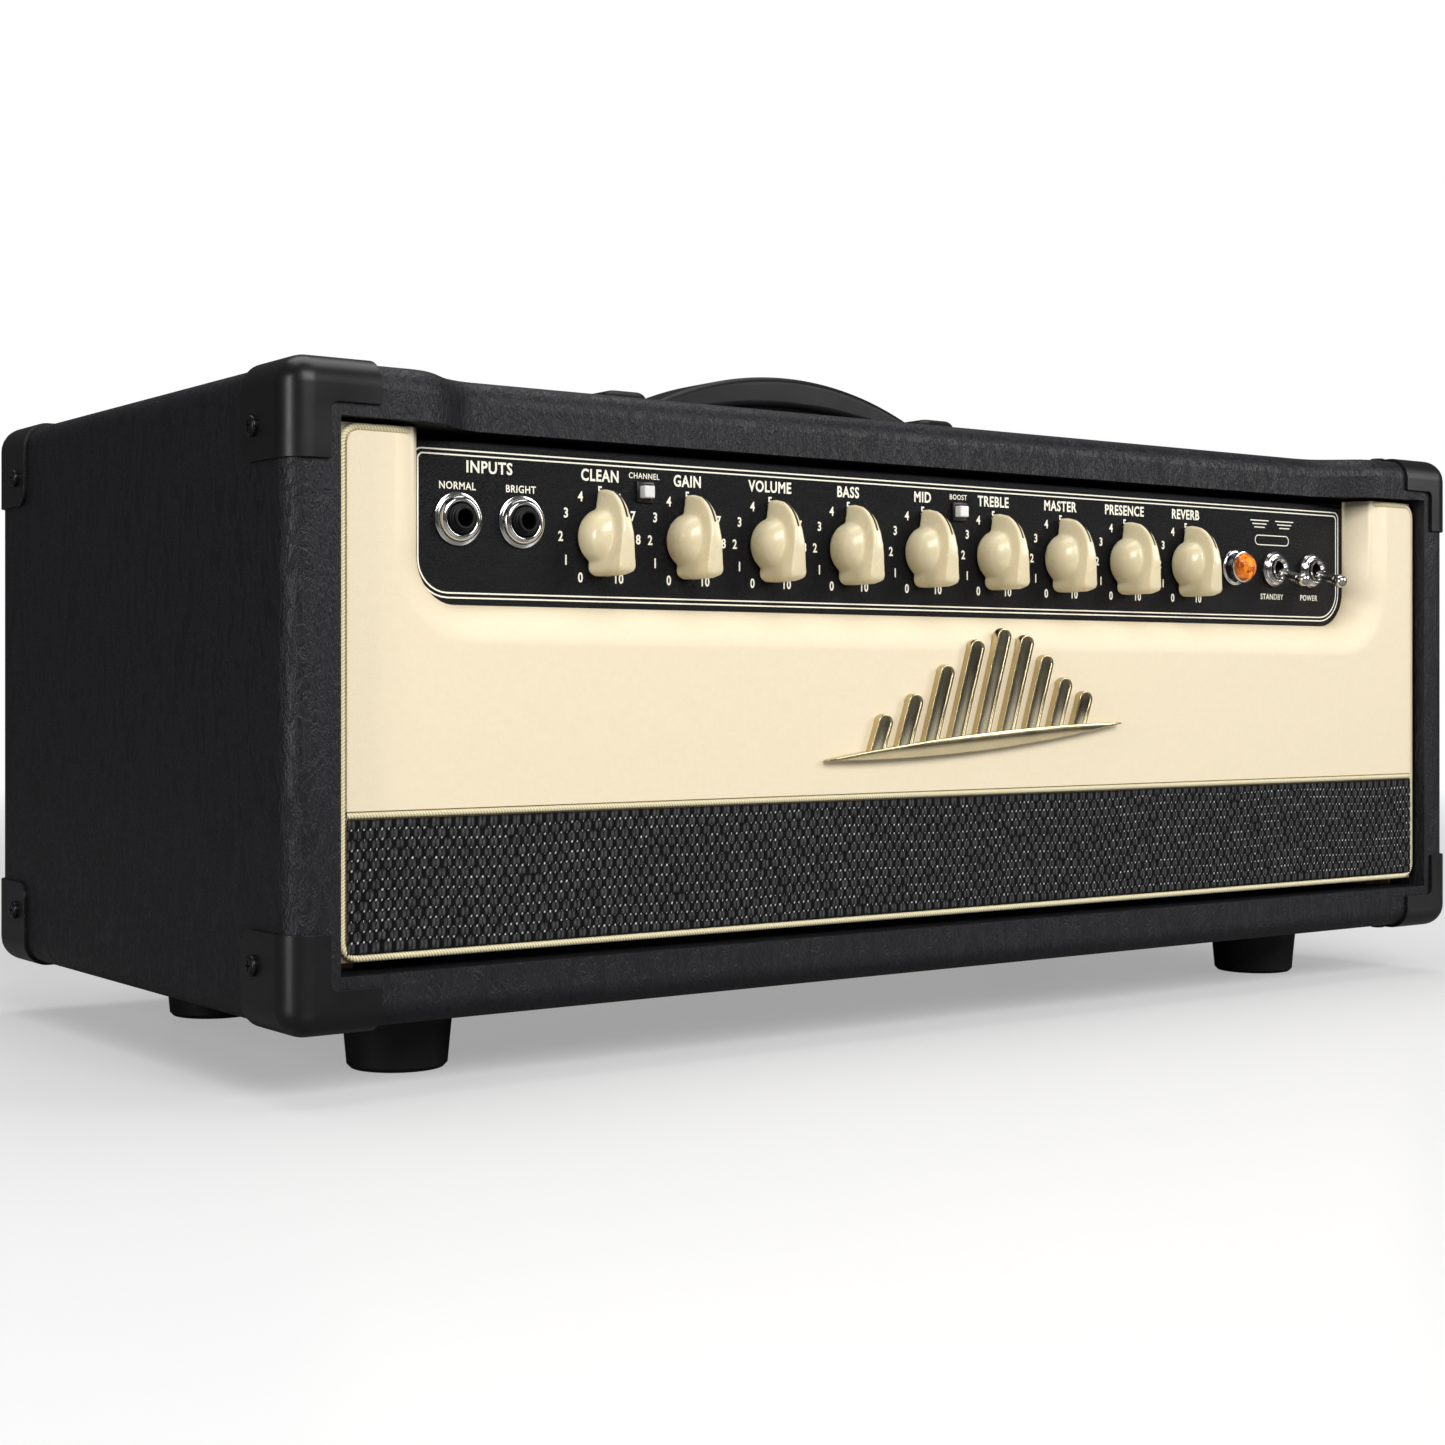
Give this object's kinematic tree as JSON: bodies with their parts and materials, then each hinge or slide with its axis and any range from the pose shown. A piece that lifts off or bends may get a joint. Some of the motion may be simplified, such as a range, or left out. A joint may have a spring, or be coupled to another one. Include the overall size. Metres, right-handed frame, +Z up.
{
  "type": "guitar amplifier head",
  "caption": "Guitar amplifier head: vinyl-covered cabinet, recessed control panel with pointer knobs and toggles, piped cream front over woven grille, corner guards, strap handle.",
  "frame": {"origin": "centre of the footprint, on the surface that the feet stand on", "axes": "+X to the right seen from the front, -Y out of the front, +Z up"},
  "size_m": [0.6776, 0.3082, 0.302],
  "materials": {
    "black_vinyl": "grained vinyl, soft sheen",
    "guard_plastic": "satin moulded plastic",
    "black_screw": "black oxide",
    "foot_rubber": "matte rubber",
    "zinc_steel": "zinc plated",
    "handle_rubber": "satin moulded",
    "bright_chrome": "polished",
    "cream_vinyl": "fine-grained vinyl",
    "raw_plywood": "sealed plywood",
    "grille_fabric": "woven, silver flecks",
    "gold_piping": "twisted cord, slight sheen",
    "badge_metal": "polished, aged",
    "panel_coat": "fine powder texture",
    "chassis_steel": "zinc plated sheet",
    "black_plastic": "moulded",
    "amber_jewel": "faceted",
    "cream_plastic": "moulded, semi-gloss",
    "button_plastic": "silver grey",
    "board_laminate": "lacquered laminate",
    "capacitor_sleeve": "shrink sleeve",
    "transformer_coat": "black enamel",
    "tube_glass": "clear",
    "socket_ceramic": "glazed ceramic",
    "tank_steel": "passivated sheet",
    "black_steel": "powder coat"
  },
  "bodies": {
    "cabinet": {"battens": "raw_plywood", "bottom_board": "black_vinyl", "chassis": "chassis_steel", "chassis_bolts": "zinc_steel", "choke": "transformer_coat", "circuit_board": "board_laminate", "control_panel": "panel_coat", "divider_piping": "gold_piping", "filter_capacitors": "capacitor_sleeve", "foot_screws": "zinc_steel", "front_badge": "badge_metal", "front_corner_guards": "guard_plastic", "front_panel": "cream_vinyl", "fuse_holders": "black_plastic", "grille_board": "raw_plywood", "grille_cloth": "grille_fabric", "guard_screws": "black_screw", "handle_bolts": "bright_chrome", "handle_end_caps": "handle_rubber", "handle_strap": "handle_rubber", "input_jack_nuts": "bright_chrome", "input_jacks": "black_plastic", "lamp_holder": "bright_chrome", "lamp_jewel": "amber_jewel", "left_side": "black_vinyl", "outer_piping": "gold_piping", "output_transformer": "transformer_coat", "pot_nuts": "zinc_steel", "potentiometers": "zinc_steel", "power_inlet": "black_plastic", "power_transformer": "transformer_coat", "power_tube_sockets": "socket_ceramic", "power_tubes": "tube_glass", "preamp_tube_sockets": "socket_ceramic", "preamp_tubes": "tube_glass", "push_switches": "black_plastic", "rear_corner_guards": "guard_plastic", "rear_jack_nuts": "bright_chrome", "rear_jacks": "black_plastic", "rear_panel": "black_steel", "rear_panel_screws": "black_screw", "reverb_tank": "tank_steel", "right_side": "black_vinyl", "rubber_feet": "foot_rubber", "toggle_nuts": "bright_chrome", "toggle_switches": "bright_chrome", "top_board": "black_vinyl"},
    "clean_control": {"clean_knob": "cream_plastic"},
    "gain_control": {"gain_knob": "cream_plastic"},
    "volume_control": {"volume_knob": "cream_plastic"},
    "bass_control": {"bass_knob": "cream_plastic"},
    "mid_control": {"mid_knob": "cream_plastic"},
    "treble_control": {"treble_knob": "cream_plastic"},
    "master_control": {"master_knob": "cream_plastic"},
    "presence_control": {"presence_knob": "cream_plastic"},
    "reverb_control": {"reverb_knob": "cream_plastic"},
    "standby_toggle": {"standby_lever": "bright_chrome"},
    "power_toggle": {"power_lever": "bright_chrome"},
    "channel_push": {"channel_button": "button_plastic"},
    "boost_push": {"boost_button": "button_plastic"}
  },
  "joints": [
    {"name": "clean_turn", "type": "hinge", "parent": "cabinet", "child": "clean_control", "pos_m": [-0.1893, -0.131, 0.2098], "axis": [0, 1, 0], "range_deg": [-150, 150]},
    {"name": "gain_turn", "type": "hinge", "parent": "cabinet", "child": "gain_control", "pos_m": [-0.14625, -0.131, 0.2098], "axis": [0, 1, 0], "range_deg": [-150, 150]},
    {"name": "volume_turn", "type": "hinge", "parent": "cabinet", "child": "volume_control", "pos_m": [-0.1032, -0.131, 0.2098], "axis": [0, 1, 0], "range_deg": [-150, 150]},
    {"name": "bass_turn", "type": "hinge", "parent": "cabinet", "child": "bass_control", "pos_m": [-0.06015, -0.131, 0.2098], "axis": [0, 1, 0], "range_deg": [-150, 150]},
    {"name": "mid_turn", "type": "hinge", "parent": "cabinet", "child": "mid_control", "pos_m": [-0.0171, -0.131, 0.2098], "axis": [0, 1, 0], "range_deg": [-150, 150]},
    {"name": "treble_turn", "type": "hinge", "parent": "cabinet", "child": "treble_control", "pos_m": [0.02595, -0.131, 0.2098], "axis": [0, 1, 0], "range_deg": [-150, 150]},
    {"name": "master_turn", "type": "hinge", "parent": "cabinet", "child": "master_control", "pos_m": [0.069, -0.131, 0.2098], "axis": [0, 1, 0], "range_deg": [-150, 150]},
    {"name": "presence_turn", "type": "hinge", "parent": "cabinet", "child": "presence_control", "pos_m": [0.11205, -0.131, 0.2098], "axis": [0, 1, 0], "range_deg": [-150, 150]},
    {"name": "reverb_turn", "type": "hinge", "parent": "cabinet", "child": "reverb_control", "pos_m": [0.1551, -0.131, 0.2098], "axis": [0, 1, 0], "range_deg": [-150, 150]},
    {"name": "standby_flip", "type": "hinge", "parent": "cabinet", "child": "standby_toggle", "pos_m": [0.2195, -0.13, 0.2098], "axis": [-1, 0, 0], "range_deg": [0, 32]},
    {"name": "power_flip", "type": "hinge", "parent": "cabinet", "child": "power_toggle", "pos_m": [0.2484, -0.13, 0.2098], "axis": [-1, 0, 0], "range_deg": [0, 32]},
    {"name": "channel_press", "type": "slide", "parent": "cabinet", "child": "channel_push", "axis": [0, 1, 0], "range_m": [0, 0.0025], "stiffness_N_per_m": 250, "springref_m": -0.001},
    {"name": "boost_press", "type": "slide", "parent": "cabinet", "child": "boost_push", "axis": [0, 1, 0], "range_m": [0, 0.0025], "stiffness_N_per_m": 250, "springref_m": -0.001}
  ]
}
